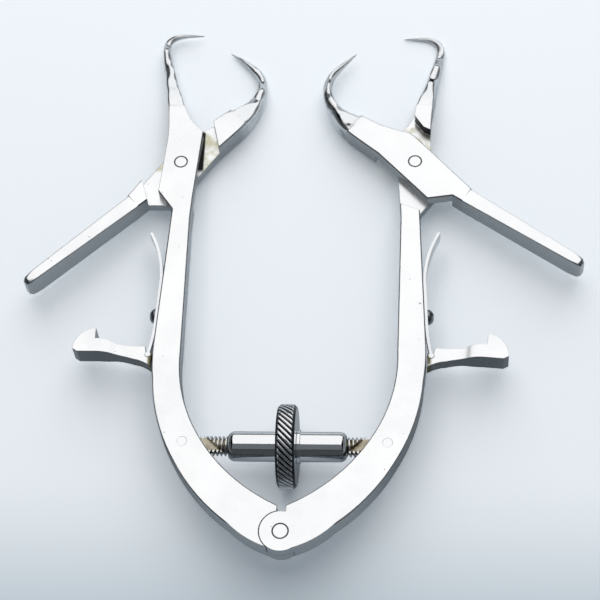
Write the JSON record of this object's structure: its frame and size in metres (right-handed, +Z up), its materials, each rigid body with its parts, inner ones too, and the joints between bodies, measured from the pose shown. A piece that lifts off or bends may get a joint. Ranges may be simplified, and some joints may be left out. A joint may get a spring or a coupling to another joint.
{
  "type": "vaginal retractor",
  "caption": "Self-retaining surgical retractor: hinged flat arms spread by a turnbuckle wheel, each with a hooked prong, a pivoted lever clamp and a sprung catch",
  "frame": {"origin": "on the main hinge's axis, in the plane of the arms' underside", "axes": "X across the two arms, +Y from the hinge towards the prongs, +Z up out of the arms' flat faces"},
  "size_m": [0.1842, 0.1962, 0.0268],
  "materials": {
    "satin_steel": "satin ground flats with polished edges",
    "polished_steel": "mirror polished",
    "threaded_steel": "bright cut thread, tongue flats stained brown",
    "spring_steel": "rolled strip, lightly polished",
    "screw_steel": "darkened, domed head"
  },
  "bodies": {
    "left_frame": {"left_arm": "satin_steel", "hinge_pin": "satin_steel", "left_lever_pin": "satin_steel", "left_rod_pin": "satin_steel", "left_leaf_spring": "spring_steel", "left_spring_screw": "screw_steel"},
    "right_frame": {"right_arm": "satin_steel", "right_lever_pin": "satin_steel", "right_rod_pin": "satin_steel", "right_leaf_spring": "spring_steel", "right_spring_screw": "screw_steel"},
    "left_clamp_lever": {"left_lever": "satin_steel"},
    "right_clamp_lever": {"right_lever": "satin_steel"},
    "left_catch_body": {"left_catch": "satin_steel"},
    "right_catch_body": {"right_catch": "satin_steel"},
    "left_screw_rod": {"left_rod": "threaded_steel"},
    "barrel_body": {"barrel": "polished_steel"},
    "wheel_body": {"wheel": "polished_steel"},
    "right_screw_rod": {"right_rod": "threaded_steel"}
  },
  "joints": [
    {"name": "spread", "type": "hinge", "parent": "left_frame", "child": "right_frame", "pos_m": [0, 0, 0.0037], "axis": [0, 0, -1], "range_deg": [-4, 20]},
    {"name": "left_rod_turn", "type": "hinge", "parent": "left_frame", "child": "left_screw_rod", "pos_m": [-0.0323, 0.03, 0.0037], "axis": [0, 0, -1], "range_deg": [-2.1, 10.1]},
    {"name": "barrel_slide", "type": "slide", "parent": "left_screw_rod", "child": "barrel_body", "axis": [1, 0, 0], "range_m": [-0.00101, 0.00492]},
    {"name": "wheel_spin", "type": "hinge", "parent": "barrel_body", "child": "wheel_body", "pos_m": [0.0008, 0.03, 0.0037], "axis": [1, 0, 0], "range_deg": [-1388, 280]},
    {"name": "right_rod_slide", "type": "slide", "parent": "barrel_body", "child": "right_screw_rod", "axis": [1, 0, 0], "range_m": [-0.00101, 0.00492]},
    {"name": "left_lever_pivot", "type": "hinge", "parent": "left_frame", "child": "left_clamp_lever", "pos_m": [-0.0397, 0.1346, 0.0037], "axis": [0, 0, 1], "range_deg": [-10, 27.5], "deforming": ["left_leaf_spring"]},
    {"name": "right_lever_pivot", "type": "hinge", "parent": "right_frame", "child": "right_clamp_lever", "pos_m": [0.0397, 0.1346, 0.0037], "axis": [0, 0, -1], "range_deg": [-2, 35.7], "deforming": ["right_leaf_spring"]},
    {"name": "left_catch_rock", "type": "hinge", "parent": "left_frame", "child": "left_catch_body", "pos_m": [-0.04568, 0.0614, 0.0037], "axis": [0, 0, 1], "range_deg": [-4, 5], "stiffness_Nm_per_rad": 0.02},
    {"name": "right_catch_rock", "type": "hinge", "parent": "right_frame", "child": "right_catch_body", "pos_m": [0.04568, 0.0614, 0.0037], "axis": [0, 0, -1], "range_deg": [-9, 0], "stiffness_Nm_per_rad": 0.02}
  ],
  "couplings": [
    {"joint": "left_rod_turn", "follows": "spread", "ratio": 0.5},
    {"joint": "barrel_slide", "follows": "spread", "m_per_rad": 0.014},
    {"joint": "wheel_spin", "follows": "spread", "ratio": -69.263},
    {"joint": "right_rod_slide", "follows": "spread", "m_per_rad": 0.014}
  ]
}
